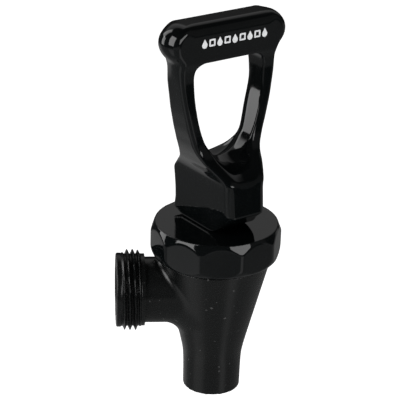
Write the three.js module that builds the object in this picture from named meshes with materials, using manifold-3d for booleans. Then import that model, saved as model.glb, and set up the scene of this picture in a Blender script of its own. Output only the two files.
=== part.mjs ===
// Self-closing beverage dispenser tap with an upright loop handle.
// Units are millimetres. +Z is up and the threaded inlet points to -X.
// The origin is the centre of the inlet's end face, on the thread's axis.
import * as THREE from 'three';
import { mergeVertices } from 'three/addons/utils/BufferGeometryUtils.js';
import Module from 'manifold-3d';

const wasm = await Module();
wasm.setup();

// ---------------------------------------------------------------- driving sizes
// Heights below are measured up from the spout's bottom face, on the valve's axis.
const GAP = 0.3;
const INLET_LENGTH = 32.1;
const INLET_HEIGHT = 34.6;

const SPOUT = { bottomRadius: 9.35, topRadius: 9.45, height: 12.7, boreRadius: 7.2, edge: 0.8 };
const CONE = { topRadius: 18.0, topHeight: 46.7 };
const WALL = 2.3;
const SEAT = { radius: 6.2, height: 25.0, land: 1.6 };
const COLLAR = { radius: 16.9, topHeight: 53.6, boreRadius: 14.9 };

const THREAD = { pitch: 1.814, crest: 13.15, root: 11.75, length: 9.2, plain: 1.1 };
const NECK = { radius: 10.7, boreRadius: 8.2 };

const BONNET = {
  sides: 10, cornerRadius: 21.2, bottom: 47.0, top: 59.1, flatRadius: 19.85,
  chamferSlope: 2.5, footRadius: 18.0, footHeight: 4.3, plate: 2.8, holeRadius: 2.8,
};

const CAM = { azimuth: 31.25, lift: 5.0, pinAboveSole: 7.0, maxTilt: 40, heel: -9.2 };
const SOLE = BONNET.top + GAP;
const PIN = { radius: 1.5, height: SOLE + CAM.pinAboveSole, length: 11.6, clearance: 0.08 };
const SLOT_HALF = 2.8;
const STEM = { radius: 2.5, eyeRadius: 3.0, eyeHalf: 2.3, barbRadius: 3.3 };

const SPRING = { wire: 0.6, coil: 5.2, turns: 7, bottom: 35.0, top: 55.1 };
const WASHER = { outer: 7.2, inner: 2.8, thickness: 0.6 };
const CUP = { rimRadius: 16.6, rimBottom: 53.9, rimTop: 56.0, wall: 1.3, noseRadius: 8.2 };

const GRIP = { halfLength: 22.2, bottom: 115.3, top: 127.4, halfDepth: 5.2 };
const MARK = { length: 25.6, height: 2.9, centre: 0.8, raise: 0.25, count: 9, rule: 0.15, thickness: 0.2 };

// Outlines of the handle: height above the spout's bottom face against distance from its axis.
const HANDLE_OUTER = [
  [66.0, 7.2], [72.0, 7.3], [76.5, 7.4], [78.0, 7.8], [79.0, 8.3], [80.0, 8.9], [82.0, 10.2], [84.0, 11.3],
  [86.0, 12.35], [88.0, 13.2], [90.0, 13.8], [93.0, 14.7], [96.0, 15.45], [100.0, 16.4], [105.0, 17.35],
  [110.0, 18.1], [113.5, 18.6],
];
const LOOP_HALF = [
  [82.2, 0.0], [82.6, 2.4], [84.0, 5.0], [86.0, 7.0], [88.4, 8.7], [91.0, 9.9], [94.0, 10.9], [98.0, 11.85],
  [103.0, 12.65], [108.0, 13.0], [111.5, 13.0], [113.8, 12.1], [115.0, 10.0],
];
const HANDLE_FRONT = [
  [65.5, 16.6], [67.0, 16.5], [72.0, 16.0], [77.4, 15.45], [78.0, 15.3], [79.0, 14.9], [80.0, 13.5], [82.0, 10.5],
  [84.0, 7.9], [86.0, 6.3], [88.0, 5.6], [90.0, 5.3], [93.0, 5.1], [100.0, 4.75], [105.0, 4.4], [110.0, 4.15],
  [113.0, 4.25],
];
const HANDLE_BACK = [
  [60.9, 13.6], [68.0, 13.85], [72.0, 14.3], [74.6, 14.65], [76.0, 14.0], [78.0, 12.4], [80.0, 10.2], [82.0, 8.2],
  [84.0, 7.0], [86.0, 6.1], [88.0, 5.6], [93.0, 5.3], [100.0, 4.95], [105.0, 4.6], [114.0, 4.6],
];

// ---------------------------------------------------------------- solid helpers
function signedVolume(positions, indices) {
  let six = 0;
  const a = new THREE.Vector3();
  const b = new THREE.Vector3();
  const c = new THREE.Vector3();
  for (let i = 0; i < indices.length; i += 3) {
    a.fromArray(positions, indices[i] * 3);
    b.fromArray(positions, indices[i + 1] * 3);
    c.fromArray(positions, indices[i + 2] * 3);
    six += a.dot(b.cross(c));
  }
  return six;
}

function solidFrom(positions, indices) {
  const triangles = Uint32Array.from(indices);
  if (signedVolume(positions, triangles) < 0) {
    for (let i = 0; i < triangles.length; i += 3) {
      [triangles[i + 1], triangles[i + 2]] = [triangles[i + 2], triangles[i + 1]];
    }
  }
  const mesh = new wasm.Mesh({ numProp: 3, vertProperties: Float32Array.from(positions), triVerts: triangles });
  return new wasm.Manifold(mesh);
}

function solid(geometry) {
  const bare = new THREE.BufferGeometry();
  bare.setAttribute('position', geometry.getAttribute('position').clone());
  if (geometry.index) bare.setIndex(geometry.index.clone());
  const merged = mergeVertices(bare, 1e-4);
  const source = merged.index.array;
  const kept = [];
  for (let i = 0; i < source.length; i += 3) {
    const [a, b, c] = [source[i], source[i + 1], source[i + 2]];
    if (a !== b && b !== c && c !== a) kept.push(a, b, c);
  }
  return solidFrom(merged.getAttribute('position').array, kept);
}

// Turns a closed [radius, height] profile about the Z axis.
function lathe(profile, segments = 48) {
  const points = profile.map(([r, z]) => new THREE.Vector2(r, z));
  const geometry = new THREE.LatheGeometry(points, segments);
  geometry.rotateX(Math.PI / 2);
  return solid(geometry);
}

function ringProfile(inner, outer, low, high) {
  return [[inner, low], [outer, low], [outer, high], [inner, high], [inner, low]];
}

function discProfile(radius, low, high) {
  return [[0, low], [radius, low], [radius, high], [0, high]];
}

// Extrudes an outline of [a, height] pairs. 'u' runs it along the hinge axis, 'v' along front to back.
function slab(outline, along, from, to, holes = []) {
  const shape = new THREE.Shape(outline.map(([a, z]) => new THREE.Vector2(a, z)));
  for (const hole of holes) shape.holes.push(new THREE.Path(hole.map(([a, z]) => new THREE.Vector2(a, z))));
  const geometry = new THREE.ExtrudeGeometry(shape, { depth: to - from, bevelEnabled: false, steps: 1 });
  geometry.translate(0, 0, from);
  const turn = new THREE.Matrix4();
  if (along === 'v') turn.set(1, 0, 0, 0, 0, 0, -1, 0, 0, 1, 0, 0, 0, 0, 0, 1);
  else turn.set(0, 0, 1, 0, -1, 0, 0, 0, 0, 1, 0, 0, 0, 0, 0, 1);
  geometry.applyMatrix4(turn);
  return solid(geometry);
}

function smoothCurve(points, count) {
  const curve = new THREE.SplineCurve(points.map(([z, r]) => new THREE.Vector2(r, z)));
  return curve.getPoints(count).map((p) => [p.x, p.y]);
}

function arc(cx, cz, radius, startDeg, endDeg, count) {
  const out = [];
  for (let i = 0; i <= count; i += 1) {
    const t = THREE.MathUtils.degToRad(startDeg + ((endDeg - startDeg) * i) / count);
    out.push([cx + radius * Math.cos(t), cz + radius * Math.sin(t)]);
  }
  return out;
}

function mirrored(half) {
  return half.map(([a, z]) => [-a, z]).reverse();
}

function horizontalCylinder(radius, from, to, height, segments = 32) {
  const geometry = new THREE.CylinderGeometry(radius, radius, to - from, segments);
  geometry.rotateZ(Math.PI / 2);
  geometry.translate((from + to) / 2, 0, height);
  return solid(geometry);
}

// ---------------------------------------------------------------- body
function coneRadius(z) {
  const t = (z - SPOUT.height) / (CONE.topHeight - SPOUT.height);
  return SPOUT.topRadius + t * (CONE.topRadius - SPOUT.topRadius);
}

// One continuous helical ridge between two plain end rings, around the X axis.
function threadSleeve() {
  const steps = 48;
  const { pitch, crest, root, length, plain } = THREAD;
  const breaks = [[0, 0], [0.3, 0], [0.5, 1], [0.8, 1]];
  const turns = Math.ceil(length / pitch) + 1;
  const rows = [];
  for (let turn = -1; turn < turns; turn += 1) {
    for (const [at, rise] of breaks) rows.push([(turn + at) * pitch, rise]);
  }
  const positions = [];
  for (let i = 0; i <= steps; i += 1) {
    const angle = (2 * Math.PI * (i % steps)) / steps;
    for (const [start, rise] of rows) {
      const s = THREE.MathUtils.clamp(start + (pitch * i) / steps, 0, length);
      const fadeIn = THREE.MathUtils.clamp((s - plain) / pitch, 0, 1);
      const fadeOut = THREE.MathUtils.clamp((length - plain - s) / pitch, 0, 1);
      const r = root + (crest - root) * rise * Math.min(fadeIn, fadeOut);
      positions.push(s - INLET_LENGTH, r * Math.cos(angle), INLET_HEIGHT + r * Math.sin(angle));
    }
  }
  const indices = [];
  const n = rows.length;
  for (let i = 0; i < steps; i += 1) {
    for (let j = 0; j < n - 1; j += 1) {
      const a = i * n + j;
      indices.push(a, a + n, a + 1, a + 1, a + n, a + n + 1);
    }
  }
  const near = positions.length / 3;
  positions.push(-INLET_LENGTH, 0, INLET_HEIGHT, length - INLET_LENGTH, 0, INLET_HEIGHT);
  for (let i = 0; i < steps; i += 1) {
    indices.push(near, (i + 1) * n, i * n);
    indices.push(near + 1, i * n + n - 1, (i + 1) * n + n - 1);
  }
  const geometry = new THREE.BufferGeometry();
  geometry.setAttribute('position', new THREE.Float32BufferAttribute(positions, 3));
  geometry.setIndex(indices);
  return solid(geometry);
}

function makeBody() {
  const shell = lathe([
    [0, 0], [SPOUT.bottomRadius - SPOUT.edge, 0], [SPOUT.bottomRadius, SPOUT.edge],
    [SPOUT.topRadius, SPOUT.height], [CONE.topRadius, CONE.topHeight], [COLLAR.radius, CONE.topHeight],
    [COLLAR.radius, COLLAR.topHeight], [0, COLLAR.topHeight],
  ], 72);
  const neckEnd = THREAD.length - INLET_LENGTH;
  const neck = horizontalCylinder(NECK.radius, neckEnd - 0.5, 0, INLET_HEIGHT, 48);
  const floor = SEAT.height - 1.2;
  const chamber = lathe([
    [0, SEAT.height], [SEAT.radius + SEAT.land, SEAT.height], [SEAT.radius + SEAT.land, floor],
    [coneRadius(floor) - WALL, floor], [COLLAR.boreRadius, CONE.topHeight - 1.2],
    [COLLAR.boreRadius, COLLAR.topHeight + 1], [0, COLLAR.topHeight + 1],
  ], 48);
  const spoutBore = lathe([
    [0, -1], [SPOUT.boreRadius, -1], [SPOUT.boreRadius, SEAT.height - 5], [SEAT.radius, SEAT.height - 3],
    [SEAT.radius, SEAT.height + 1], [0, SEAT.height + 1],
  ], 48);
  const inletBore = horizontalCylinder(NECK.boreRadius, -INLET_LENGTH - 1, -9, INLET_HEIGHT, 48);
  return shell.add(neck).add(threadSleeve()).subtract(chamber).subtract(spoutBore).subtract(inletBore);
}

// ---------------------------------------------------------------- bonnet
function makeBonnet() {
  const { sides, cornerRadius, bottom, top, flatRadius, footRadius, footHeight } = BONNET;
  const corners = [];
  for (let i = 0; i < sides; i += 1) {
    const t = (2 * Math.PI * i) / sides;
    corners.push([cornerRadius * Math.cos(t), cornerRadius * Math.sin(t)]);
  }
  const shape = new THREE.Shape(corners.map(([x, y]) => new THREE.Vector2(x, y)));
  const prism = new THREE.ExtrudeGeometry(shape, { depth: top - bottom, bevelEnabled: false });
  prism.translate(0, 0, bottom);
  const foot = [];
  for (let i = 0; i <= 5; i += 1) {
    const t = (Math.PI / 2) * (i / 5);
    foot.push([
      footRadius + (cornerRadius - footRadius) * Math.sin(t),
      bottom + footHeight * (1 - Math.cos(t)),
    ]);
  }
  const chamferDrop = (cornerRadius - flatRadius) * BONNET.chamferSlope;
  const envelope = lathe([[0, bottom], ...foot, [cornerRadius, top - chamferDrop], [flatRadius, top], [0, top]], 80);
  const cavity = lathe(discProfile(COLLAR.radius + GAP, bottom - 1, top - BONNET.plate), 72);
  const hole = lathe(discProfile(BONNET.holeRadius, bottom, top + 1), 32);
  return solid(prism).intersect(envelope).subtract(cavity).subtract(hole);
}

// ---------------------------------------------------------------- handle
// The sole is flat at rest. Ahead of it an involute keeps the cam touching the bonnet under one
// point, so that the stem rises by CAM.lift millimetres for each radian of tilt.
function soleProfile() {
  const points = [[-HANDLE_BACK[0][1], HANDLE_BACK[0][0]], [CAM.heel, SOLE]];
  const steps = 8;
  const most = THREE.MathUtils.degToRad(CAM.maxTilt);
  let last = null;
  for (let i = 0; i <= steps; i += 1) {
    const t = (most * i) / steps;
    const reach = CAM.pinAboveSole + CAM.lift * t;
    last = [
      reach * Math.sin(t) + CAM.lift * Math.cos(t),
      PIN.height - reach * Math.cos(t) + CAM.lift * Math.sin(t),
    ];
    points.push(last);
  }
  const toe = HANDLE_FRONT[0][1];
  points.push([toe, last[1] + (toe - last[0]) * Math.tan(most)]);
  return points;
}

function makeHandle() {
  const grip = GRIP;
  const endRadius = (grip.top - grip.bottom) / 2;
  const endCentre = [grip.halfLength - endRadius, (grip.top + grip.bottom) / 2];
  const rightSide = [
    [HANDLE_OUTER[0][1], SOLE - 2], ...smoothCurve(HANDLE_OUTER, 32), [19.0, grip.bottom + 0.2],
    ...arc(endCentre[0], endCentre[1], endRadius, -50, 90, 10),
  ];
  const front = [...rightSide, ...mirrored(rightSide)];
  const loopHalf = smoothCurve(LOOP_HALF, 24);
  const loop = [...loopHalf, ...mirrored(loopHalf.slice(1))];
  const underside = [[grip.halfDepth - 0.5, grip.bottom - 0.9], [grip.halfDepth, grip.bottom + 0.4]];
  const rounded = (edge) => [
    ...underside, ...arc(grip.halfDepth - edge, grip.top - edge, edge, 0, 90, 4),
  ];
  const gripFront = rounded(3.0);
  const gripBack = rounded(1.5).map(([v, z]) => [-v, z]).reverse();
  const back = smoothCurve(HANDLE_BACK.slice(1), 26).map(([v, z]) => [-v, z]).reverse();
  const side = [...soleProfile(), ...smoothCurve(HANDLE_FRONT.slice(1), 28), ...gripFront, ...gripBack, ...back];
  const blank = slab(front, 'v', -20, 20, [loop]).intersect(slab(side, 'u', -25, 25));

  const tilt = THREE.MathUtils.degToRad(CAM.maxTilt);
  const low = SOLE - 2;
  const corner = [SLOT_HALF * Math.cos(tilt), PIN.height + SLOT_HALF * Math.sin(tilt)];
  const run = (corner[1] - low) / Math.cos(tilt);
  const sweep = [
    [-SLOT_HALF, PIN.height], [-SLOT_HALF, low], [corner[0] + run * Math.sin(tilt), low], corner,
  ];
  const slotHalfWidth = SLOT_HALF;
  const slot = slab(sweep, 'u', -slotHalfWidth, slotHalfWidth)
    .add(slab(arc(0, PIN.height, STEM.eyeRadius + 0.4, 0, 345, 23), 'u', -slotHalfWidth, slotHalfWidth));
  const pinBore = horizontalCylinder(PIN.radius + 0.04, -5.0, 9.0, PIN.height, 32);
  return blank.subtract(slot).subtract(pinBore);
}

// A row of plain drops and cubes strung on a hair-fine rule, where a label would be printed.
function makeMark() {
  const front = GRIP.halfDepth + 0.02;
  const back = front + MARK.thickness;
  const middleHeight = (GRIP.top + GRIP.bottom) / 2 + MARK.raise;
  const left = MARK.centre - MARK.length / 2;
  const right = left + MARK.length;
  const step = MARK.length / MARK.count;
  const half = MARK.height / 2;
  const low = middleHeight - MARK.rule / 2;
  let mark = slab([[left + half, low], [right - half, low], [right - half, low + MARK.rule],
    [left + half, low + MARK.rule]], 'v', front, back);
  for (let i = 0; i < MARK.count; i += 1) {
    const middle = left + step * (i + 0.5);
    if (i % 2 === 0) {
      const r = half * 0.68;
      const drop = [...arc(middle, middleHeight - half + r, r, 150, 390, 14), [middle, middleHeight + half]];
      mark = mark.add(slab(drop, 'v', front, back));
    } else {
      const side = half * 0.8;
      const cube = [
        [middle - side, middleHeight - side], [middle + side, middleHeight - side],
        [middle + side, middleHeight + side], [middle - side, middleHeight + side],
      ];
      mark = mark.add(slab(cube, 'v', front, back));
    }
  }
  return mark;
}

// ---------------------------------------------------------------- stem, pin and the sealing parts
function makeStem() {
  const shaft = lathe([
    [0, 28.8], [2.6, 28.8], [STEM.barbRadius, 29.5], [STEM.barbRadius, 30.6], [2.2, 31.2], [2.2, 34.0],
    [STEM.radius, 34.3], [STEM.radius, PIN.height], [0, PIN.height],
  ], 32);
  const eye = horizontalCylinder(STEM.eyeRadius, -STEM.eyeHalf, STEM.eyeHalf, PIN.height, 32);
  const hole = horizontalCylinder(PIN.radius + PIN.clearance, -5, 5, PIN.height, 32);
  return shaft.add(eye).subtract(hole);
}

function makePin() {
  return horizontalCylinder(PIN.radius, -4.9, -4.9 + PIN.length, PIN.height, 32);
}

function makeCup() {
  const r = CUP.noseRadius;
  return lathe([
    [0, SEAT.height + GAP], [r - 1, SEAT.height + GAP], [r, SEAT.height + 1.2], [r, 32.4], [9.3, 34.8],
    [13.3, 47.5], [13.6, CUP.rimBottom], [CUP.rimRadius, CUP.rimBottom], [CUP.rimRadius, CUP.rimTop],
    [12.3, CUP.rimTop], [12.0, 47.8], [8.2, 36.0], [7.2, 33.9], [2.5, 33.9], [2.5, 31.3], [3.6, 31.3],
    [3.6, 28.4], [0, 28.4],
  ], 48);
}

function makeSpring() {
  class Helix extends THREE.Curve {
    getPoint(t, target = new THREE.Vector3()) {
      const angle = 2 * Math.PI * SPRING.turns * t;
      const low = SPRING.bottom + SPRING.wire;
      const z = low + (SPRING.top - SPRING.wire - low) * t;
      return target.set(SPRING.coil * Math.cos(angle), SPRING.coil * Math.sin(angle), z);
    }
  }
  const wire = new THREE.Shape();
  wire.absarc(0, 0, SPRING.wire, 0, 2 * Math.PI, false);
  const geometry = new THREE.ExtrudeGeometry(wire, {
    steps: SPRING.turns * 20, curveSegments: 4, bevelEnabled: false, extrudePath: new Helix(),
  });
  return solid(geometry);
}

// ---------------------------------------------------------------- scene graph
const blackGloss = { color: 0x0b0b0c, roughness: 0.12, metalness: 0.0 };
const blackSatin = { color: 0x0d0d0e, roughness: 0.3, metalness: 0.0 };
const steel = { color: 0xb9bcc0, roughness: 0.3, metalness: 1.0 };
const silicone = { color: 0xd9dcdc, roughness: 0.6, metalness: 0.0 };
const acetal = { color: 0xe6e4de, roughness: 0.45, metalness: 0.0 };
const ink = { color: 0xf4f4f2, roughness: 0.5, metalness: 0.0 };

const tap = new THREE.Group();
tap.name = 'dispenser_tap';
const valve = new THREE.Group();
valve.name = 'valve_axis';
valve.position.set(INLET_LENGTH, 0, -INLET_HEIGHT);
const swivel = new THREE.Group();
swivel.name = 'handle_side';
swivel.rotation.z = THREE.MathUtils.degToRad(CAM.azimuth);
valve.add(swivel);
tap.add(valve);

function place(parent, name, shape, look) {
  const mesh = shape.getMesh();
  const positions = [];
  for (let i = 0; i < mesh.numVert; i += 1) {
    for (let k = 0; k < 3; k += 1) positions.push(mesh.vertProperties[i * mesh.numProp + k]);
  }
  const geometry = new THREE.BufferGeometry();
  geometry.setAttribute('position', new THREE.Float32BufferAttribute(positions, 3));
  geometry.setIndex(Array.from(mesh.triVerts));
  const flat = geometry.toNonIndexed();
  flat.computeVertexNormals();
  const node = new THREE.Mesh(flat, new THREE.MeshStandardMaterial(look));
  node.name = name;
  parent.add(node);
}

place(valve, 'body', makeBody(), blackSatin);
place(valve, 'bonnet', makeBonnet(), blackGloss);
place(valve, 'seat_cup', makeCup(), silicone);
place(valve, 'spring', makeSpring(), steel);
place(valve, 'spring_washer_top', lathe(ringProfile(WASHER.inner, WASHER.outer, 55.4, 56.0), 40), steel);
place(valve, 'spring_washer_bottom', lathe(ringProfile(WASHER.inner, 6.8, 34.2, 34.8), 40), steel);
place(swivel, 'stem', makeStem(), acetal);
place(swivel, 'hinge_pin', makePin(), steel);
place(swivel, 'handle', makeHandle(), blackGloss);
place(swivel, 'grip_mark', makeMark(), ink);

export default tap;
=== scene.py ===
"""Looks of the self-closing dispenser tap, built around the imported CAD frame.

Shapes are worked out in millimetres. "Height" is measured up from the spout's bottom face, on the
valve's axis. The handle has its own axes: u along the hinge pin, v towards its front face.
"""
import math

import bpy
import numpy as np
from mathutils import Matrix, Vector


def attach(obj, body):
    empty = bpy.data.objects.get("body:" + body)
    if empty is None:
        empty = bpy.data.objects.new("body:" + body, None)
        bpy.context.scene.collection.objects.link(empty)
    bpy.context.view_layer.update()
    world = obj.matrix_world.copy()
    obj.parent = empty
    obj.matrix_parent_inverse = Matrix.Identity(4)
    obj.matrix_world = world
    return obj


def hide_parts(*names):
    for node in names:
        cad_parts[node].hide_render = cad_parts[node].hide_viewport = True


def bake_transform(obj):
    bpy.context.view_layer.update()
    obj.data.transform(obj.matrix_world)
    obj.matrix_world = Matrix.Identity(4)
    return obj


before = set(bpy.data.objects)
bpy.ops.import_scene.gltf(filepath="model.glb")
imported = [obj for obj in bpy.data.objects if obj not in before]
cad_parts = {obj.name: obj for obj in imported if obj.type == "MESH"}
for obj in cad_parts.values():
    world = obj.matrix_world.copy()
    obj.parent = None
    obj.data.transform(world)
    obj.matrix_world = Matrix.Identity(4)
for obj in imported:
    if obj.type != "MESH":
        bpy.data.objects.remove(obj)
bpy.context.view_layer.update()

MM = 0.001

# ------------------------------------------------------------------ driving sizes, in millimetres
# The valve's axis against the inlet's end, and the handle's turn about it.
INLET_LENGTH = 32.1
INLET_HEIGHT = 34.6
AZIMUTH = math.radians(31.25)
FRONT_IS_V = np.array([1.0, -1.0, 1.0])

# The body: spout, cone, seat, the collar inside the bonnet, then the inlet's neck and thread.
SPOUT_BOTTOM, SPOUT_TOP, SPOUT_HEIGHT, SPOUT_BORE = 9.35, 9.45, 12.7, 7.2
CONE_TOP, CONE_HEIGHT, WALL = 18.0, 46.7, 2.3
SEAT_RADIUS, SEAT_HEIGHT, SEAT_LAND, SEAT_STEP = 6.2, 25.0, 1.6, 1.2
COLLAR_RADIUS, COLLAR_TOP, COLLAR_BORE = 16.9, 53.6, 14.9
NECK_RADIUS, NECK_BORE, LOW_FILLET, TOP_FILLET = 10.7, 8.2, 4.2, 1.6
PITCH, CREST, ROOT, THREAD_LENGTH, PLAIN, THREAD_SHIFT = 1.814, 13.15, 11.75, 9.2, 1.1, 0.55

# The bonnet.
SIDES, CORNER_RADIUS, CORNER_ROUND = 10, 21.2, 3.2
BONNET_LOW, BONNET_TOP, FLAT_RADIUS, CHAMFER_SLOPE = 47.0, 59.1, 19.85, 2.5
FOOT_RADIUS, FOOT_HEIGHT, PLATE, STEM_HOLE = 18.0, 4.3, 2.8, 2.8

# The handle: its cam, the slot and bore for the stem's eye and its pin, and the grip.
SOLE, PIN_HEIGHT, CAM_LIFT, MAX_TILT, HEEL = 59.4, 66.4, 5.0, math.radians(40), -9.2
SLOT_HALF, EYE_ROOM, PIN_BORE, PIN_START = 2.8, 3.4, 1.54, -5.0
GRIP_HALF, GRIP_LOW, GRIP_TOP, GRIP_DEPTH = 22.3, 115.3, 127.4, 5.2

# Radii of the handle's outer edges, then of the finger loop's edges and of the bulges on its faces.
SOLE_EDGE, BASE_FRONT_EDGE, BASE_BACK_EDGE, ARM_EDGE = 0.3, 2.8, 1.2, 1.5
TOP_FRONT_EDGE, TOP_BACK_EDGE, END_FRONT_EDGE, END_BACK_EDGE = 3.4, 1.5, 1.5, 1.2
SADDLE_EDGE, SADDLE_SIDE_EDGE, LOOP_FRONT_EDGE, LOOP_BACK_EDGE = 7.0, 1.5, 0.7, 1.2
LOW_LOOP_CROWN, HIGH_LOOP_CROWN, MOST_CROWN, END_CROWN = 3.6, 7.0, 3.6, 8.0

# Heights between which one form of the handle passes into the next.
SOLE_TO_BASE, BASE_TO_ARMS, ARMS_TO_GRIP = (61, 65), (74, 82), (110, 118)
SADDLE_TO_LOOP, LOW_TO_HIGH_LOOP, CROWN_TO_FLAT, ARMS_TO_BULGE = (83, 92), (82, 98), (104, 113), (108, 114)

# The printed mark and the spring.
MARK_LENGTH, MARK_SIZE, MARK_COUNT, MARK_CENTRE, MARK_RAISE = 25.6, 2.9, 9, 0.8, 0.25
SPRING_WIRE, SPRING_COIL, SPRING_TURNS, SPRING_LOW, SPRING_HIGH = 0.6, 5.2, 7, 35.0, 55.1

# The handle's outlines: height against distance from its axis. OUTER and LOOP are seen from the
# front, FRONT and BACK from the side.
HANDLE_OUTER = [
    (66.0, 7.2), (72.0, 7.3), (76.5, 7.4), (78.0, 7.8), (79.0, 8.3), (80.0, 8.9), (82.0, 10.2),
    (84.0, 11.3), (86.0, 12.35), (88.0, 13.2), (90.0, 13.8), (93.0, 14.7), (96.0, 15.45),
    (100.0, 16.4), (105.0, 17.35), (110.0, 18.1), (113.5, 18.6),
]
LOOP_HALF = [
    (82.2, 0.0), (82.6, 2.4), (84.0, 5.0), (86.0, 7.0), (88.4, 8.7), (91.0, 9.9), (94.0, 10.9),
    (98.0, 11.85), (103.0, 12.65), (108.0, 13.0), (111.5, 13.0), (113.8, 12.1), (115.0, 10.0),
]
HANDLE_FRONT = [
    (67.0, 16.5), (72.0, 16.0), (76.8, 15.55), (77.8, 15.2), (78.4, 14.8), (79.2, 14.0), (80.0, 13.1),
    (82.0, 10.5), (84.0, 7.9), (86.0, 6.3), (88.0, 5.6), (90.0, 5.3), (93.0, 5.1),
    (100.0, 4.75), (105.0, 4.4), (110.0, 4.15), (113.0, 4.25),
]
TOE = (65.5, 16.6)
BACK_FOOT = (60.9, 13.6)
FRONT_REACH, BACK_REACH = 17.0, 14.7
HANDLE_BACK = [
    (68.0, 13.85), (72.0, 14.3), (74.6, 14.65), (76.0, 14.0), (78.0, 12.4), (80.0, 10.2),
    (82.0, 8.2), (84.0, 7.0), (86.0, 6.1), (88.0, 5.6), (93.0, 5.3), (100.0, 4.95),
    (105.0, 4.6), (114.0, 4.6),
]


# ------------------------------------------------------------------ flat outlines
def catmull(points, per_span=8):
    """A smooth curve through (height, distance) pairs, returned as (distance, height) rows."""
    p = np.array([(d, h) for h, d in points], float)
    p = np.vstack([2 * p[0] - p[1], p, 2 * p[-1] - p[-2]])
    rows = []
    for i in range(1, len(p) - 2):
        for t in np.arange(per_span) / per_span:
            a, b, c, d = p[i - 1:i + 3]
            rows.append(0.5 * (2 * b + (c - a) * t + (2 * a - 5 * b + 4 * c - d) * t ** 2
                               + (3 * b - a - 3 * c + d) * t ** 3))
    rows.append(p[-2])
    return np.array(rows)


def arc(cx, cy, radius, start, end, count):
    t = np.radians(np.linspace(start, end, count + 1))
    return np.column_stack([cx + radius * np.cos(t), cy + radius * np.sin(t)])


def mirrored(half):
    return np.column_stack([-half[:, 0], half[:, 1]])[::-1]


def softened(loop, spacing, blur):
    """The closed loop with evenly spaced points and its corners eased over about `blur` mm."""
    closed = np.vstack([loop, loop[:1]])
    along = np.concatenate([[0], np.cumsum(np.hypot(*np.diff(closed, axis=0).T))])
    count = int(along[-1] / spacing)
    at = np.linspace(0, along[-1], count, endpoint=False)
    even = np.column_stack([np.interp(at, along, closed[:, k]) for k in (0, 1)])
    reach = int(3 * blur / spacing) + 1
    weights = np.exp(-0.5 * (np.arange(-reach, reach + 1) * spacing / blur) ** 2)
    weights /= weights.sum()
    out = np.zeros_like(even)
    for shift, weight in zip(range(-reach, reach + 1), weights):
        out += weight * np.roll(even, -shift, axis=0)
    return out


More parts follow.
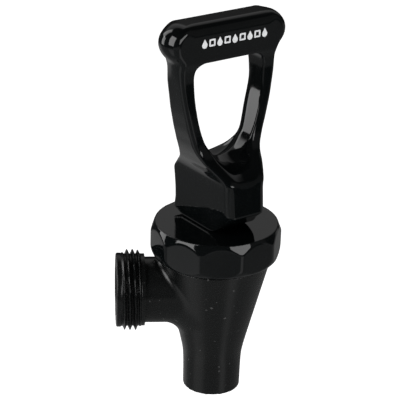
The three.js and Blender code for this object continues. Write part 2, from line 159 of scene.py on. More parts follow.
class Outline:
    """Signed distance to a closed loop, negative inside, with a smoothly turning direction.

    Both are worked out once on a fine grid, STEP apart and up to BAND away from the loop, and read
    from there."""

    STEP = 0.12
    BAND = 8.0

    def __init__(self, loop, crease=30.0):
        loop = np.asarray(loop, float)
        loop = loop[np.hypot(*(loop - np.roll(loop, 1, axis=0)).T) > 1e-5]
        after = np.roll(loop, -1, axis=0)
        edge = after - loop
        area = np.sum(loop[:, 0] * after[:, 1] - loop[:, 1] * after[:, 0])
        normal = math.copysign(1, area) * np.column_stack([edge[:, 1], -edge[:, 0]])
        normal /= np.hypot(*normal.T)[:, None]
        before = np.roll(normal, 1, axis=0)
        soft = (np.sum(before * normal, axis=1) > math.cos(math.radians(crease)))[:, None]
        corner = before + normal
        corner /= np.hypot(*corner.T)[:, None] + 1e-12
        start = np.where(soft, corner, normal)
        end = np.where(np.roll(soft, -1, axis=0), np.roll(corner, -1, axis=0), normal)

        self.low = loop.min(axis=0) - self.BAND
        size = ((loop.max(axis=0) + self.BAND - self.low) / self.STEP).astype(int) + 2
        self.xs = self.low[0] + self.STEP * np.arange(size[0])
        self.ys = self.low[1] + self.STEP * np.arange(size[1])
        inside = self._inside(loop, after)
        sign = np.where(inside, -1.0, 1.0)
        nearest = np.full(size, self.BAND ** 2)
        away = np.zeros((*size, 2))
        for k in range(len(loop)):
            self._near_edge(loop[k], edge[k], start[k], end[k], sign, nearest, away)
        self.distance = sign * np.sqrt(nearest)
        self.direction = away

    def _inside(self, loop, after):
        inside = np.zeros((len(self.xs), len(self.ys)), bool)
        for j, y in enumerate(self.ys + 1e-6):
            cuts = (loop[:, 1] > y) != (after[:, 1] > y)
            t = (y - loop[cuts, 1]) / (after[cuts, 1] - loop[cuts, 1])
            x = np.sort(loop[cuts, 0] + t * (after[cuts, 0] - loop[cuts, 0]))
            inside[:, j] = np.searchsorted(x, self.xs) % 2 == 1
        return inside

    def _near_edge(self, at, edge, start, end, sign, nearest, away):
        low = np.minimum(at, at + edge) - self.BAND
        high = np.maximum(at, at + edge) + self.BAND
        i0, j0 = np.maximum(((low - self.low) / self.STEP).astype(int), 0)
        i1, j1 = ((high - self.low) / self.STEP).astype(int) + 1
        window = (slice(i0, i1), slice(j0, j1))
        dx = self.xs[i0:i1, None] - at[0]
        dy = self.ys[None, j0:j1] - at[1]
        t = np.clip((dx * edge[0] + dy * edge[1]) / (edge @ edge), 0, 1)
        ex, ey = dx - t * edge[0], dy - t * edge[1]
        square = ex * ex + ey * ey
        closer = square < nearest[window]
        if not closer.any():
            return
        t, ex, ey, square = t[closer], ex[closer], ey[closer], square[closer]
        reach = np.sqrt(square)
        along = (1 - t)[:, None] * start + t[:, None] * end
        direct = np.column_stack([ex, ey]) * (sign[window][closer] / (reach + 1e-9))[:, None]
        at_corner = ((t <= 0) | (t >= 1)) & (reach > 0.02)
        nearest[window][closer] = square
        away[window][closer] = np.where(at_corner[:, None], direct, along)

    def at(self, p):
        place = (p - self.low) / self.STEP
        limit = np.array([len(self.xs), len(self.ys)]) - 1.001
        place = np.clip(place, 0, limit)
        cell = place.astype(int)
        fx, fy = (place - cell).T
        i, j = cell.T
        distance = np.zeros(len(p))
        direction = np.zeros((len(p), 2))
        for di, dj, weight in (
            (0, 0, (1 - fx) * (1 - fy)), (1, 0, fx * (1 - fy)), (0, 1, (1 - fx) * fy), (1, 1, fx * fy),
        ):
            distance += weight * self.distance[i + di, j + dj]
            direction += weight[:, None] * self.direction[i + di, j + dj]
        return distance, direction / (np.hypot(*direction.T)[:, None] + 1e-9)


# ------------------------------------------------------------------ solid fields: (distance, direction)
def meet(one, two, radius=0.0):
    """What both solids share. The edge where they meet is rounded to the radius."""
    (a, ga), (b, gb) = one, two
    x, y = a + radius, b + radius
    both = (x > 0) & (y > 0)
    length = np.sqrt(np.maximum(x, 0) ** 2 + np.maximum(y, 0) ** 2) + 1e-12
    value = np.where(both, length - radius, np.maximum(a, b))
    mixed = (x[:, None] * ga + y[:, None] * gb) / length[:, None]
    return value, np.where(both[:, None], mixed, np.where((a > b)[:, None], ga, gb))


def flip(field):
    return -field[0], -field[1]


def less(one, two, radius=0.0):
    """The first solid with the second cut out of it."""
    return meet(one, flip(two), radius)


def join(one, two, radius=0.0):
    """Both solids together, with a fillet of the radius between them."""
    return flip(meet(flip(one), flip(two), radius))


def plane(p, axis, at, sign=1.0):
    """Everything below `at` on an axis, or above it when sign is -1."""
    direction = np.zeros_like(p)
    direction[:, axis] = sign
    return sign * (p[:, axis] - at), direction


def prism(p, outline, axes):
    """An outline carried straight along the remaining axis."""
    distance, flat = outline.at(p[:, axes])
    direction = np.zeros_like(p)
    direction[:, axes[0]] = flat[:, 0]
    direction[:, axes[1]] = flat[:, 1]
    return distance, direction


def turned(p, outline):
    """An outline of (radius, height) turned about the Z axis.

    The outline runs past the axis to a negative radius, so that the axis isn't one of its edges."""
    radius = np.hypot(p[:, 0], p[:, 1]) + 1e-9
    distance, flat = outline.at(np.column_stack([radius, p[:, 2]]))
    outward = flat[:, 0]
    return distance, np.column_stack([outward * p[:, 0] / radius, outward * p[:, 1] / radius, flat[:, 1]])


def rod(p, axis, centre, radius):
    """An endless cylinder along one axis, through `centre` on the other two."""
    others = [k for k in range(3) if k != axis]
    offset = p[:, others] - np.array(centre)
    reach = np.hypot(*offset.T) + 1e-9
    direction = np.zeros_like(p)
    direction[:, others] = offset / reach[:, None]
    return reach - radius, direction


def surface(field, low, high, step, snaps=3):
    """Vertices, quads and directions of a field's surface.

    The surface is found on a grid: each cell that it crosses gets a vertex, and each grid edge that
    it crosses gets a quad. The vertices are then moved onto it, a few times over."""
    axes = [np.arange(a - step, b + 2 * step, step) for a, b in zip(low, high)]
    shape = tuple(len(a) for a in axes)
    grid = np.stack(np.meshgrid(*axes, indexing="ij"), axis=-1).reshape(-1, 3)
    value = field(grid)[0].reshape(shape) + 1e-7
    inside = value < 0
    cells = tuple(n - 1 for n in shape)
    total = np.zeros(cells + (3,))
    count = np.zeros(cells)
    crossings = []
    for axis in range(3):
        head = [slice(None)] * 3
        tail = [slice(None)] * 3
        head[axis] = slice(0, -1)
        tail[axis] = slice(1, None)
        f0, f1 = value[tuple(head)], value[tuple(tail)]
        index = np.argwhere(inside[tuple(head)] != inside[tuple(tail)])
        t = f0[tuple(index.T)] / (f0[tuple(index.T)] - f1[tuple(index.T)])
        point = index.astype(float)
        point[:, axis] += t
        b, c = [k for k in range(3) if k != axis]
        ring = []
        for db, dc in ((0, 0), (1, 0), (1, 1), (0, 1)):
            cell = index.copy()
            cell[:, b] -= db
            cell[:, c] -= dc
            ring.append(cell)
            np.add.at(total, tuple(cell.T), point)
            np.add.at(count, tuple(cell.T), 1)
        outward = inside[tuple(head)][tuple(index.T)]
        crossings.append((ring, outward, axis))
    number = -np.ones(cells, int)
    used = np.argwhere(count > 0)
    number[tuple(used.T)] = np.arange(len(used))
    points = total[tuple(used.T)] / count[tuple(used.T)][:, None] * step + [a[0] for a in axes]
    quads = []
    for ring, outward, axis in crossings:
        quad = np.column_stack([number[tuple(cell.T)] for cell in ring])
        swap = outward if axis == 1 else ~outward
        quad[swap] = quad[swap][:, ::-1]
        quads.append(quad)
    quads = np.vstack(quads)
    for _ in range(snaps):
        distance, direction = field(points)
        points = points - np.clip(distance, -0.4 * step, 0.4 * step)[:, None] * direction
    direction = field(points)[1]
    return points, quads, direction / (np.linalg.norm(direction, axis=1)[:, None] + 1e-12)


# ------------------------------------------------------------------ meshes
def valve_matrix(turn=0.0):
    """From millimetres on the valve's axis to the row frame in metres."""
    place = Matrix.Translation((INLET_LENGTH * MM, 0, -INLET_HEIGHT * MM))
    return place @ Matrix.Rotation(turn, 4, "Z") @ Matrix.Scale(MM, 4)


def mesh_object(name, points, faces, normals=None, turn=0.0, crease=None):
    matrix = np.array(valve_matrix(turn))
    placed = np.asarray(points, float) @ matrix[:3, :3].T + matrix[:3, 3]
    mesh = bpy.data.meshes.new(name)
    mesh.from_pydata(placed.tolist(), [], [list(map(int, f)) for f in faces])
    mesh.update()
    mesh.shade_smooth()
    if normals is not None:
        spin = matrix[:3, :3] / MM
        mesh.normals_split_custom_set_from_vertices((normals @ spin.T).tolist())
    elif crease is not None:
        mesh.set_sharp_from_angle(angle=math.radians(crease))
    obj = bpy.data.objects.new(name, mesh)
    bpy.context.scene.collection.objects.link(obj)
    return obj


def ring_faces(rings, across, closed=True, turned_over=False):
    """Quads that join each ring of `across` points to the next, and the last to the first if closed."""
    faces = []
    for i in range(rings if closed else rings - 1):
        after = (i + 1) % rings
        for j in range(across):
            k = (j + 1) % across
            quad = (i * across + j, i * across + k, after * across + k, after * across + j)
            faces.append((quad[0], quad[3], quad[2], quad[1]) if turned_over else quad)
    return faces


def lathe(name, profile, segments, crease=30):
    """A closed (radius, height) profile turned about the valve's axis."""
    angles = 2 * np.pi * np.arange(segments) / segments
    points = [(r * math.cos(a), r * math.sin(a), z) for a in angles for r, z in profile]
    faces = ring_faces(segments, len(profile), turned_over=True)
    return mesh_object(name, points, faces, crease=crease)


# ------------------------------------------------------------------ handle
def handle_outlines():
    """The front outline, the finger loop and the side outline, as signed distances."""
    end = (GRIP_TOP - GRIP_LOW) / 2
    right = np.vstack([
        [[HANDLE_OUTER[0][1], SOLE - 4]], catmull(HANDLE_OUTER), [[19.0, GRIP_LOW + 0.2]],
        arc(GRIP_HALF - end, GRIP_TOP - end, end, -50, 90, 40),
    ])
    outer = Outline(softened(np.vstack([right, mirrored(right)]), 0.2, 0.45))
    half = catmull(LOOP_HALF)
    loop = Outline(softened(np.vstack([half, mirrored(half[1:])]), 0.2, 0.4))
    sole = [(HEEL, SOLE)]
    for t in np.linspace(0, MAX_TILT, 13):
        reach = PIN_HEIGHT - SOLE + CAM_LIFT * t
        sole.append((
            reach * math.sin(t) + CAM_LIFT * math.cos(t),
            PIN_HEIGHT - reach * math.cos(t) + CAM_LIFT * math.sin(t),
        ))
    toe = sole[-1][1] + (TOE[1] - sole[-1][0]) * math.tan(MAX_TILT)
    grip_front = np.array([
        (GRIP_DEPTH - 0.5, GRIP_LOW - 0.9), (GRIP_DEPTH, GRIP_LOW + 0.4), (GRIP_DEPTH, GRIP_TOP + 4),
    ])
    side = np.vstack([
        [[-BACK_FOOT[1], BACK_FOOT[0]]], sole, [[TOE[1], toe]],
        catmull(HANDLE_FRONT), grip_front, mirrored(grip_front), mirrored(catmull(HANDLE_BACK)),
    ])
    return outer, loop, Outline(softened(side, 0.2, 0.3))


def slot_outline():
    """The slot that the stem's eye stands in, cut back in front so that the handle can tilt."""
    low = SOLE - 2
    corner = (SLOT_HALF * math.cos(MAX_TILT), PIN_HEIGHT + SLOT_HALF * math.sin(MAX_TILT))
    run = (corner[1] - low) / math.cos(MAX_TILT)
    return Outline([
        (-SLOT_HALF, PIN_HEIGHT), (-SLOT_HALF, low), (corner[0] + run * math.sin(MAX_TILT), low), corner,
    ])


def ramped(x, low, high, start, end):
    """A smooth step from start to end as x goes from low to high."""
    t = np.clip((x - low) / (high - low), 0, 1)
    return start + (end - start) * t * t * (3 - 2 * t)


def leaned(direction, slope):
    """Unit directions with a slope along v added to them, at unit length again."""
    direction = direction.copy()
    direction[:, 1] += slope
    return direction / (np.linalg.norm(direction, axis=1, keepdims=True) + 1e-9)


def opened(loop, p):
    """The finger loop, crowned inside: narrowest near mid depth and opening out to the back."""
    distance, direction = prism(p, loop, [0, 2])
    height = p[:, 2]
    narrowest = ramped(height, *LOW_TO_HIGH_LOOP, 1.5, -0.5)
    radius = ramped(height, *LOW_TO_HIGH_LOOP, LOW_LOOP_CROWN, HIGH_LOOP_CROWN)
    fade = ramped(height, *CROWN_TO_FLAT, 1.0, 0.0)
    behind = np.minimum(p[:, 1] - narrowest, 0)
    extra = MOST_CROWN * np.tanh(behind ** 2 / (2 * radius * MOST_CROWN))
    slope = behind / radius * (1 - (extra / MOST_CROWN) ** 2)
    return distance - fade * extra, leaned(direction, -fade * slope)


def domed(outer, p):
    """The front view's outline, with the ends of the grip bulging outward."""
    distance, direction = prism(p, outer, [0, 2])
    amount = ramped(np.abs(p[:, 0]), 15, 20, 0.0, 1.0) * ramped(p[:, 2], *ARMS_TO_BULGE, 0.0, 1.0)
    lean = leaned(direction, amount * p[:, 1] / END_CROWN)
    return distance + amount * p[:, 1] ** 2 / (2 * END_CROWN), lean


def make_handle():
    """The base block, its cam, the ramp, the two arms and the grip, as one moulding."""
    outer, loop, side = handle_outlines()
    slot = slot_outline()

    def field(placed):
        p = placed * FRONT_IS_V
        height = p[:, 2]
        ahead = p[:, 1] > 0
        base = np.where(ahead, BASE_FRONT_EDGE, BASE_BACK_EDGE)
        top = np.where(ahead, TOP_FRONT_EDGE, TOP_BACK_EDGE)
        end = np.where(ahead, END_FRONT_EDGE, END_BACK_EDGE)
        grip = ramped(np.abs(p[:, 0]), 13, 18.5, top, end)
        outside = ramped(height, *SOLE_TO_BASE, SOLE_EDGE, base)
        outside = ramped(height, *BASE_TO_ARMS, outside, ARM_EDGE)
        outside = ramped(height, *ARMS_TO_GRIP, outside, grip)
        body = meet(domed(outer, p), prism(p, side, [1, 2]), outside)
        saddle = ramped(np.abs(p[:, 0]), 2, 8, SADDLE_EDGE, SADDLE_SIDE_EDGE)
        inner = np.where(ahead, ramped(height, *SADDLE_TO_LOOP, saddle, LOOP_FRONT_EDGE), LOOP_BACK_EDGE)
        body = less(body, opened(loop, p), inner)
        middle = meet(plane(p, 0, SLOT_HALF), plane(p, 0, -SLOT_HALF, -1.0))
        eye = rod(p, 0, (0, PIN_HEIGHT), EYE_ROOM)
        room = join(prism(p, slot, [1, 2]), eye)
        body = less(body, meet(room, middle), 0.25)
        bore = meet(rod(p, 0, (0, PIN_HEIGHT), PIN_BORE), plane(p, 0, PIN_START, -1.0))
        distance, direction = less(body, bore, 0.2)
        return distance, direction * FRONT_IS_V

    low = (-GRIP_HALF, -FRONT_REACH, SOLE)
    high = (GRIP_HALF, BACK_REACH, GRIP_TOP)
    points, quads, normals = surface(field, low, high, 0.45)
    return mesh_object("handle_loop", points, quads, normals, turn=AZIMUTH)


# ------------------------------------------------------------------ bonnet
def make_bonnet():
    """The many-sided nut, chamfered on top and rounded underneath, with its hole and its cavity."""
    half_side = 180 / SIDES
    reach = CORNER_RADIUS - CORNER_ROUND / math.cos(math.radians(half_side)) + 0.12
    corners = []
    for i in range(SIDES):
        at = 360 * i / SIDES
        centre = (reach * math.cos(math.radians(at)), reach * math.sin(math.radians(at)))
        corners.append(arc(*centre, CORNER_ROUND, at - half_side, at + half_side, 8))
    plan = Outline(np.vstack(corners))
    foot = [
        (FOOT_RADIUS + (CORNER_RADIUS - FOOT_RADIUS) * math.sin(t),
         BONNET_LOW + FOOT_HEIGHT * (1 - math.cos(t)))
        for t in np.linspace(0, math.pi / 2, 16)
    ]
    drop = (CORNER_RADIUS - FLAT_RADIUS) * CHAMFER_SLOPE
    profile = Outline(softened(np.array([
        (-6, BONNET_LOW), *foot, (CORNER_RADIUS, BONNET_TOP - drop), (FLAT_RADIUS, BONNET_TOP),
        (-6, BONNET_TOP),
    ]), 0.12, 0.12))

    def field(p):
        body = meet(prism(p, plan, [0, 1]), turned(p, profile), 0.2)
        cavity = meet(rod(p, 2, (0, 0), COLLAR_RADIUS + 0.3), plane(p, 2, BONNET_TOP - PLATE))
        body = less(body, cavity, 0.3)
        return less(body, rod(p, 2, (0, 0), STEM_HOLE), 0.3)

    low = (-CORNER_RADIUS, -CORNER_RADIUS, BONNET_LOW)
    high = (CORNER_RADIUS, CORNER_RADIUS, BONNET_TOP)
    points, quads, normals = surface(field, low, high, 0.38)
    return mesh_object("bonnet_nut", points, quads, normals)


# ------------------------------------------------------------------ body
def cone_radius(height):
    t = (height - SPOUT_HEIGHT) / (CONE_HEIGHT - SPOUT_HEIGHT)
    return SPOUT_TOP + t * (CONE_TOP - SPOUT_TOP)


def cone_outline():
    """The outside of the spout and the cone, with a long easy bend between them."""
    bend = 0.45
    rows = [(SPOUT_BOTTOM, 0)]
    for height in np.linspace(1.0, CONE_HEIGHT, 60):
        spout = SPOUT_BOTTOM + (SPOUT_TOP - SPOUT_BOTTOM) * height / SPOUT_HEIGHT
        gap = cone_radius(height) - spout
        rows.append((spout + 0.5 * (gap + math.sqrt(gap * gap + bend)), height))
    return Outline(np.array([(-5, 0), *rows, (-5, CONE_HEIGHT)]))


def make_shell():
    """The body: spout, cone, collar and inlet neck in one, with its chamber and waterway."""
    outside = cone_outline()
    floor = SEAT_HEIGHT - SEAT_STEP
    land = SEAT_RADIUS + SEAT_LAND
    chamber = Outline([
        (-5, SEAT_HEIGHT), (land, SEAT_HEIGHT), (land, floor),
        (cone_radius(floor) - WALL, floor), (COLLAR_BORE, CONE_HEIGHT - 1.2),
        (COLLAR_BORE, COLLAR_TOP + 3), (-5, COLLAR_TOP + 3),
    ])
    waterway = Outline([
        (-5, -3), (SPOUT_BORE, -3), (SPOUT_BORE, SEAT_HEIGHT - 5), (SEAT_RADIUS, SEAT_HEIGHT - 3),
        (SEAT_RADIUS, SEAT_HEIGHT + 1), (-5, SEAT_HEIGHT + 1),
    ])
    start = THREAD_LENGTH - INLET_LENGTH - 0.3

    def field(p):
        shell = turned(p, outside)
        neck = meet(rod(p, 0, (0, INLET_HEIGHT), NECK_RADIUS), plane(p, 0, start, -1.0))
        neck = meet(neck, plane(p, 0, 0.0))
        fillet = ramped(p[:, 2], INLET_HEIGHT - 9, INLET_HEIGHT - 1, LOW_FILLET, TOP_FILLET)
        body = meet(join(shell, neck, fillet), plane(p, 2, CONE_HEIGHT), 0.25)
        body = meet(body, plane(p, 2, 0.0, -1.0), 0.3)
        ring = meet(rod(p, 2, (0, 0), COLLAR_RADIUS), plane(p, 2, COLLAR_TOP), 0.3)
        ring = meet(ring, plane(p, 2, CONE_HEIGHT - 2, -1.0))
        body = join(body, ring)
        body = less(body, turned(p, chamber), 0.1)
        body = less(body, turned(p, waterway), 0.35)
        inlet = meet(rod(p, 0, (0, INLET_HEIGHT), NECK_BORE), plane(p, 0, -9.0))
        return less(body, inlet, 0.1)

    low = (start, -CONE_TOP, 0)
    high = (CONE_TOP, CONE_TOP, COLLAR_TOP)
    points, quads, normals = surface(field, low, high, 0.5)
    return mesh_object("body_shell", points, quads, normals)


def make_thread():
    """The inlet's threaded sleeve: one helical V ridge between two plain end rings."""
    around, per_pitch = 144, 14
    edge, run_out, collar = 0.35, 1.1, 0.3
    stations = np.linspace(0, THREAD_LENGTH, int(THREAD_LENGTH / PITCH * per_pitch))
    fade_in = np.clip((stations - PLAIN - 0.5) / run_out, 0, 1)
    fade_out = np.clip((THREAD_LENGTH - PLAIN - stations) / run_out, 0, 1)
    depth = (CREST - ROOT) * np.minimum(fade_in, fade_out)
    rounded = edge * (1 - np.sqrt(np.clip(1 - (1 - np.clip(stations / edge, 0, 1)) ** 2, 0, 1)))
    plain = ROOT + collar * np.clip((1.9 - stations) / 0.5, 0, 1) - rounded
    inside = [(THREAD_LENGTH, NECK_RADIUS - 1), (THREAD_LENGTH, NECK_BORE), (0.3, NECK_BORE)]
    points = []
    for i in range(around):
        angle = 2 * np.pi * i / around
        phase = np.mod((stations - THREAD_SHIFT) / PITCH - i / around, 1.0)
        ridge = np.clip(1.18 - np.abs(phase - 0.5) / 0.36, 0, 1)
        ridge = ridge * ridge * (3 - 2 * ridge) * 0.35 + ridge * 0.65
        ring = [(0.0, NECK_BORE + 0.3), *zip(stations, plain + depth * ridge), *inside]
        y, z = math.cos(angle), math.sin(angle)
        points += [(along - INLET_LENGTH, r * y, INLET_HEIGHT + r * z) for along, r in ring]
    return mesh_object("inlet_thread_sleeve", points, ring_faces(around, len(ring)), crease=42)


# ------------------------------------------------------------------ inner pieces
def make_cup():
    """The silicone seat cup, with one soft fold in its skirt."""
    nose, seat = 8.2, SEAT_HEIGHT + 0.3
    outer = np.array([
        (nose - 1, seat), (nose - 0.3, seat + 0.25), (nose, seat + 1.0), (nose, 32.4), (8.5, 33.6),
        (9.3, 34.8), (10.2, 37.6), (11.0, 40.2), (11.9, 43.0), (12.7, 45.6), (13.3, 47.5),
        (13.5, 50.0), (13.6, 53.9), (16.5, 53.9), (16.6, 54.1), (16.6, 55.8), (16.4, 56.0),
    ])
    inner = np.array([
        (12.4, 56.0), (12.2, 55.0), (12.1, 50.5), (12.0, 47.8), (11.3, 45.4), (10.4, 42.7),
        (9.5, 40.0), (8.7, 37.6), (8.2, 36.0), (7.2, 33.9), (2.55, 33.9), (2.55, 31.3),
        (3.6, 31.3), (3.6, 28.4), (0.2, 28.4), (0.2, seat),
    ])
    return lathe("seat_cup_soft", np.vstack([outer, inner]), 96)


def make_spring():
    """The return spring, with a closed half turn at each end."""
    steps, around, closed_share = SPRING_TURNS * 40, 14, 0.06
    t = np.linspace(0, 1, steps + 1)
    angle = 2 * np.pi * SPRING_TURNS * t
    eased = np.clip((t * SPRING_TURNS - 0.5) / (SPRING_TURNS - 1.0), 0, 1)
    rise = SPRING_HIGH - SPRING_LOW - 2 * SPRING_WIRE
    height = SPRING_LOW + SPRING_WIRE + rise * (closed_share * t + (1 - closed_share) * eased)
    outward = np.column_stack([np.cos(angle), np.sin(angle), np.zeros_like(angle)])
    centre = SPRING_COIL * outward + height[:, None] * np.array([0, 0, 1])
    tangent = np.gradient(centre, axis=0)
    tangent /= np.linalg.norm(tangent, axis=1)[:, None]
    side = np.cross(tangent, outward)
    side /= np.linalg.norm(side, axis=1)[:, None]
    phi = 2 * np.pi * np.arange(around) / around
    ring = np.cos(phi)[None, :, None] * outward[:, None] + np.sin(phi)[None, :, None] * side[:, None]
    points = (centre[:, None] + SPRING_WIRE * ring).reshape(-1, 3)
    points[:, 2] = np.clip(points[:, 2], SPRING_LOW, SPRING_HIGH)
    faces = ring_faces(steps + 1, around, closed=False)
    faces.append(tuple(range(around))[::-1])
    faces.append(tuple(range(steps * around, (steps + 1) * around)))
    return mesh_object("return_spring_wire", points, faces, crease=50)


def make_mark():
    """Plain drops and outlined cubes, as a printed row on the grip's face."""
    lift, thick = 0.005, 0.03
    front = GRIP_DEPTH + lift
    half = MARK_SIZE / 2
    middle = (GRIP_TOP + GRIP_LOW) / 2 + MARK_RAISE
    pitch = MARK_LENGTH / MARK_COUNT
    drop_radius, cube_scales, cube_ease = half * 0.68, (0.8, 0.42), 0.25
    corners = ((1, 1, 0), (-1, 1, 90), (-1, -1, 180), (1, -1, 270))
    points, faces = [], []

    def slab(rings):
        """A thin printed patch: one ring makes it whole, a second ring leaves a hole in it."""
        base = len(points)
        n = len(rings[0])
        for ring in rings:
            for depth in (front, front + thick):
                points.extend((a, depth, h) for a, h in ring)
        if len(rings) == 1:
            faces.append([base + n + k for k in range(n)])
            faces.append([base + k for k in reversed(range(n))])
        for k in range(n):
            m = (k + 1) % n
            faces.append((base + k, base + m, base + n + m, base + n + k))
            if len(rings) == 2:
                faces.append((base + n + k, base + n + m, base + 3 * n + m, base + 3 * n + k))
                faces.append((base + m, base + k, base + 2 * n + k, base + 2 * n + m))
                faces.append((base + 2 * n + m, base + 2 * n + k, base + 3 * n + k, base + 3 * n + m))

    def cube_ring(centre, side):
        ease = side * cube_ease
        reach = side - ease
        return np.vstack([
            arc(centre + sx * reach, middle + sy * reach, ease, turn, turn + 90, 5)
            for sx, sy, turn in corners
        ])

    for i in range(MARK_COUNT):
        centre = MARK_CENTRE - MARK_LENGTH / 2 + pitch * (i + 0.5)
        if i % 2 == 0:
            bowl = arc(centre, middle - half + drop_radius, drop_radius, 150, 390, 28)
            slab([np.vstack([bowl, [[centre, middle + half]]])])
        else:
            slab([cube_ring(centre, half * scale) for scale in cube_scales])
    return mesh_object("grip_print", np.array(points) * FRONT_IS_V, faces, turn=AZIMUTH, crease=30)


# ------------------------------------------------------------------ materials
def node_material(name, colour, roughness, metallic=0.0):
    material = bpy.data.materials.new(name)
    material.use_nodes = True
    tree = material.node_tree
    shader = tree.nodes["Principled BSDF"]
    shader.inputs["Base Color"].default_value = (*colour, 1)
    shader.inputs["Roughness"].default_value = roughness
    shader.inputs["Metallic"].default_value = metallic
    shader.inputs["IOR"].default_value = 1.5
    return material, tree, shader


def add_noise(tree, scale, detail=3.0, stretch=(1, 1, 1)):
    """Noise in object space, which stays fixed to the piece."""
    where = tree.nodes.new("ShaderNodeTexCoord")
    mapping = tree.nodes.new("ShaderNodeMapping")
    mapping.inputs["Scale"].default_value = stretch
    noise = tree.nodes.new("ShaderNodeTexNoise")
    noise.inputs["Scale"].default_value = scale
    noise.inputs["Detail"].default_value = detail
    tree.links.new(where.outputs["Object"], mapping.inputs["Vector"])
    tree.links.new(mapping.outputs["Vector"], noise.inputs["Vector"])
    return noise


def add_ramp(tree, source, stops):
    ramp = tree.nodes.new("ShaderNodeValToRGB")
    elements = ramp.color_ramp.elements
    for element, (at, colour) in zip(elements, stops):
        element.position = at
        element.color = (*colour, 1)
    for at, colour in stops[2:]:
        elements.new(at).color = (*colour, 1)
    tree.links.new(source, ramp.inputs["Fac"])
    return ramp


def add_range(tree, source, low, high, to_low, to_high):
    node = tree.nodes.new("ShaderNodeMapRange")
    node.inputs["From Min"].default_value = low
    node.inputs["From Max"].default_value = high
    node.inputs["To Min"].default_value = to_low
    node.inputs["To Max"].default_value = to_high
    tree.links.new(source, node.inputs["Value"])
    return node


def set_tone(tree, shader, source, stops):
    tone = add_ramp(tree, source, stops)
    tree.links.new(tone.outputs["Color"], shader.inputs["Base Color"])


def set_roughness(tree, shader, source, low, high, smooth, rough):
    node = add_range(tree, source, low, high, smooth, rough)
    tree.links.new(node.outputs["Result"], shader.inputs["Roughness"])


def add_bump(tree, shader, source, strength, distance):
    bump = tree.nodes.new("ShaderNodeBump")
    bump.inputs["Strength"].default_value = strength
    bump.inputs["Distance"].default_value = distance
    tree.links.new(source, bump.inputs["Height"])
    tree.links.new(bump.outputs["Normal"], shader.inputs["Normal"])


def gloss_black():
    """Polished moulded plastic: fine scuffs, and a slow ripple from the mould."""
    material, tree, shader = node_material("gloss_black_plastic", (0.0024, 0.0032, 0.0034), 0.07)
    flow = add_noise(tree, 60.0, 2.0)
    tones = [(0.3, (0.0014, 0.0022, 0.0024)), (0.75, (0.0032, 0.0038, 0.0040))]
    set_tone(tree, shader, flow.outputs["Fac"], tones)
    scuff = add_noise(tree, 420.0, 5.0, (1, 1, 0.25))
    set_roughness(tree, shader, scuff.outputs["Fac"], 0.35, 0.75, 0.045, 0.10)
    ripple = add_noise(tree, 130.0, 1.0)
    add_bump(tree, shader, ripple.outputs["Fac"], 0.12, 0.00006)
    return material


def satin_black():
    """Semi-gloss moulded plastic: flow marks, a fine grain and a few specks of dust."""
    material, tree, shader = node_material("satin_black_plastic", (0.004, 0.004, 0.004), 0.26)
    flow = add_noise(tree, 45.0, 3.0, (1, 1, 0.4))
    tones = [(0.3, (0.0024, 0.0030, 0.0031)), (0.75, (0.0042, 0.0046, 0.0046))]
    tone = add_ramp(tree, flow.outputs["Fac"], tones)
    specks = add_noise(tree, 900.0, 0.0)
    dust = add_range(tree, specks.outputs["Fac"], 0.80, 0.84, 0.0, 1.0)
    mix = tree.nodes.new("ShaderNodeMix")
    mix.data_type = "RGBA"
    mix.inputs["B"].default_value = (0.05, 0.05, 0.05, 1)
    tree.links.new(dust.outputs["Result"], mix.inputs["Factor"])
    tree.links.new(tone.outputs["Color"], mix.inputs["A"])
    tree.links.new(mix.outputs["Result"], shader.inputs["Base Color"])
    grain = add_noise(tree, 1500.0, 3.0)
    set_roughness(tree, shader, grain.outputs["Fac"], 0.3, 0.7, 0.24, 0.29)
    add_bump(tree, shader, grain.outputs["Fac"], 0.05, 0.00002)
    return material


def mottled(name, noise, dark, light, roughness, stops=(0.3, 0.7), metallic=0.0, bump=None):
    """One noise, (scale, detail, stretch), moves a material's tone, roughness and any bump together."""
    middle = [(a + b) / 2 for a, b in zip(dark, light)]
    material, tree, shader = node_material(name, middle, sum(roughness) / 2, metallic)
    source = add_noise(tree, *noise).outputs["Fac"]
    set_tone(tree, shader, source, list(zip(stops, (dark, light))))
    set_roughness(tree, shader, source, 0.3, 0.7, *roughness)
    if bump:
        add_bump(tree, shader, source, *bump)
    return material


def dress(obj, material):
    obj.data.materials.clear()
    obj.data.materials.append(material)


# ------------------------------------------------------------------ pieces on their bodies
black, satin = gloss_black(), satin_black()
silicone = mottled(
    "food_silicone", (120.0, 3.0), (0.66, 0.67, 0.66), (0.78, 0.79, 0.78), (0.42, 0.6), bump=(0.2, 0.0001),
)
steel = mottled(
    "drawn_stainless", (900.0, 2.0, (1, 1, 6)), (0.5, 0.51, 0.53), (0.68, 0.69, 0.7), (0.18, 0.36),
    metallic=1.0, bump=(0.15, 0.00003),
)
acetal = mottled("white_acetal", (200.0, 2.0), (0.7, 0.69, 0.66), (0.8, 0.79, 0.76), (0.34, 0.5))
ink = mottled(
    "printed_white_ink", (1200.0, 3.0), (0.66, 0.67, 0.7), (0.86, 0.87, 0.88), (0.35, 0.55),
    stops=(0.25, 0.5),
)

PIECES = [
    (make_handle, "handle", "handle_group", "gloss_black", black),
    (make_mark, "grip_mark", "handle_group", "ink", ink),
    (make_bonnet, "bonnet", "tap_body", "gloss_black", black),
    (make_shell, "body", "tap_body", "body", satin),
    (make_thread, "body", "tap_body", "body", satin),
]
for make, node, body, slot, material in PIECES:
    piece = make()
    dress(piece, material)
    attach(piece, body)
    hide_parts(node)

for make, node, slot, material in (
    (make_cup, "seat_cup", "silicone", silicone), (make_spring, "spring", "stainless", steel),
):
    piece = make()
    dress(piece, material)
    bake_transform(piece)
    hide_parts(node)

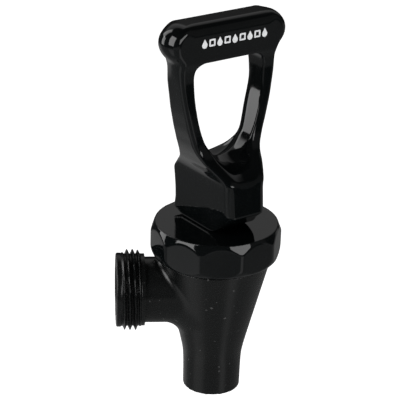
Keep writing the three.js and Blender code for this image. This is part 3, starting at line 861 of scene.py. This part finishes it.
for node, material in (
    ("stem", acetal), ("hinge_pin", steel), ("spring_washer_top", steel), ("spring_washer_bottom", steel),
):
    dress(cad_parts[node], material)


# ------------------------------------------------------------------ stage, lights and camera
FLOOR_HALF, FLOOR_LEVEL = 3.0, -0.16
SURROUND = [
    (0, 180, -95, -16.5, 1, 0.20),      # a pale table all round, which upright faces mirror
    (0, 180, -16.5, 95, 2, 0.03),       # the dim room above it
    (-95, 42, -17.5, -8, 1.5, 0.26),    # for the rounded front corner of the handle's base
    (20, 30, -17, -6, 2, 0.2),          # for the base's right edge
    (-22, 22, -6, 45, 6, 0.09),         # for the front edge of the grip's top
    (-150, 20, -55, -20, 8, 0.35),      # for the bonnet and cone, left of the camera
    (-49, 10, -55, -18, 4, 0.45),       # for a pale streak down them, right of the camera
    (120, 22, -50, -18, 6, 0.22),       # for the bonnet's far left side
    (84, 62, 20, 50, 5, 0.36),          # for the bonnet's flat top
    (143, 11, 12, 50, 2, 2.5),          # for the inner face of the right arm
]
SOFT_BOXES = [
    ("box_left", -151, 27, 0.62, 0.38, 0.52, 4.0),
    ("box_back_left", 158, 7, 0.70, 0.22, 0.34, 2.6),
    ("box_right", -51, 15, 0.62, 0.40, 0.24, 3.0),
]
CAMERA_AT = Vector((-17.0, -487.6, 243.46)) * MM
HEADING, PITCH_DOWN, ROLL = math.radians(5.11), math.radians(23.4), math.radians(1.72)
LENS, SENSOR_WIDTH = 150.43, 36.0


def make_floor(half, level):
    """A pale floor, in metres, that the glossy parts don't mirror."""
    corners = [(-half, -half), (half, -half), (half, half), (-half, half)]
    mesh = bpy.data.meshes.new("floor")
    mesh.from_pydata([(x, y, level) for x, y in corners], [], [(0, 1, 2, 3)])
    floor = bpy.data.objects.new("floor", mesh)
    bpy.context.scene.collection.objects.link(floor)
    material, tree, shader = node_material("pale_floor", (0.92, 0.92, 0.92), 0.7)
    paper = add_noise(tree, 8.0, 2.0)
    set_tone(tree, shader, paper.outputs["Fac"], [(0.3, (0.91, 0.91, 0.91)), (0.7, (0.94, 0.94, 0.94))])
    shader.inputs["Emission Color"].default_value = (1, 1, 1, 1)
    shader.inputs["Emission Strength"].default_value = 0.9
    dress(floor, material)
    floor.visible_glossy = False


def compass(azimuth, elevation):
    """The direction from the tap towards an azimuth, from +X, and an elevation."""
    a, e = math.radians(azimuth), math.radians(elevation)
    return Vector((math.cos(e) * math.cos(a), math.cos(e) * math.sin(a), math.sin(e)))


def softbox(name, azimuth, elevation, distance, width, height, radiance):
    """A soft box, in metres, that looks at the tap from a compass direction in degrees."""
    light = bpy.data.lights.new(name, "AREA")
    light.shape = "RECTANGLE"
    light.size, light.size_y = width, height
    light.energy = radiance * math.pi * width * height
    obj = bpy.data.objects.new(name, light)
    target = Vector((INLET_LENGTH * MM, 0, 0.03))
    obj.location = target + compass(azimuth, elevation) * distance
    obj.rotation_euler = (target - obj.location).to_track_quat("-Z", "Y").to_euler()
    obj.visible_camera = False
    bpy.context.scene.collection.objects.link(obj)


def studio_world(patches):
    """A dim soft surround with pale patches on it, and plain white where the camera sees it.

    A patch is (azimuth, half width, lowest, highest, softness) in degrees, then its brightness."""
    world = bpy.data.worlds.new("studio")
    bpy.context.scene.world = world
    world.use_nodes = True
    tree = world.node_tree
    tree.nodes.clear()

    def maths(operation, one, two=0.0):
        node = tree.nodes.new("ShaderNodeMath")
        node.operation = operation
        for socket, value in zip(node.inputs, (one, two)):
            if isinstance(value, float):
                socket.default_value = value
            else:
                tree.links.new(value, socket)
        return node.outputs["Value"]

    def step(value, low, high):
        node = add_range(tree, value, low, high, 0.0, 1.0)
        node.interpolation_type = "SMOOTHSTEP"
        return node.outputs["Result"]

    def sine(angle):
        return math.sin(math.radians(angle))

    def cosine(angle):
        return math.cos(math.radians(angle))

    where = tree.nodes.new("ShaderNodeTexCoord")
    split = tree.nodes.new("ShaderNodeSeparateXYZ")
    tree.links.new(where.outputs["Generated"], split.inputs["Vector"])
    x, y, z = (split.outputs[k] for k in "XYZ")
    level = maths("SQRT", maths("ADD", maths("MULTIPLY", x, x), maths("MULTIPLY", y, y)))
    total = None
    for azimuth, half, lowest, highest, soft, brightness in patches:
        above_low = step(z, sine(max(lowest - soft, -90)), sine(lowest + soft))
        above_high = step(z, sine(highest - soft), sine(min(highest + soft, 90)))
        part = maths("SUBTRACT", above_low, above_high)
        if half < 180:
            a = math.radians(azimuth)
            facing = maths("ADD", maths("MULTIPLY", x, math.cos(a)), maths("MULTIPLY", y, math.sin(a)))
            facing = maths("DIVIDE", facing, level)
            edges = cosine(min(half + soft, 180)), cosine(max(half - soft, 0))
            part = maths("MULTIPLY", part, step(facing, *edges))
        part = maths("MULTIPLY", part, brightness)
        total = part if total is None else maths("ADD", total, part)
    surround = tree.nodes.new("ShaderNodeBackground")
    tree.links.new(total, surround.inputs["Strength"])
    white = tree.nodes.new("ShaderNodeBackground")
    white.inputs["Color"].default_value = (1, 1, 1, 1)
    white.inputs["Strength"].default_value = 1.05
    path = tree.nodes.new("ShaderNodeLightPath")
    mix = tree.nodes.new("ShaderNodeMixShader")
    out = tree.nodes.new("ShaderNodeOutputWorld")
    tree.links.new(path.outputs["Is Camera Ray"], mix.inputs["Fac"])
    tree.links.new(surround.outputs["Background"], mix.inputs[1])
    tree.links.new(white.outputs["Background"], mix.inputs[2])
    tree.links.new(mix.outputs["Shader"], out.inputs["Surface"])


def place_camera():
    """The camera's place and aim in the object's frame: heading from +Y, pitch down, then roll."""
    level_part = math.cos(PITCH_DOWN)
    forward = Vector((
        math.sin(HEADING) * level_part, math.cos(HEADING) * level_part, -math.sin(PITCH_DOWN),
    ))
    level = Vector((math.cos(HEADING), -math.sin(HEADING), 0))
    above = level.cross(forward)
    right = level * math.cos(ROLL) + above * math.sin(ROLL)
    up = above * math.cos(ROLL) - level * math.sin(ROLL)
    data = bpy.data.cameras.new("camera")
    data.lens = LENS
    data.sensor_width = SENSOR_WIDTH
    data.clip_start = 0.01
    camera = bpy.data.objects.new("camera", data)
    bpy.context.scene.collection.objects.link(camera)
    turn = Matrix((right, up, -forward)).transposed().to_4x4()
    camera.matrix_world = Matrix.Translation(CAMERA_AT) @ turn
    bpy.context.scene.camera = camera


make_floor(FLOOR_HALF, FLOOR_LEVEL)
studio_world(SURROUND)
for box in SOFT_BOXES:
    softbox(*box)
place_camera()
bpy.context.scene.view_settings.view_transform = "Standard"
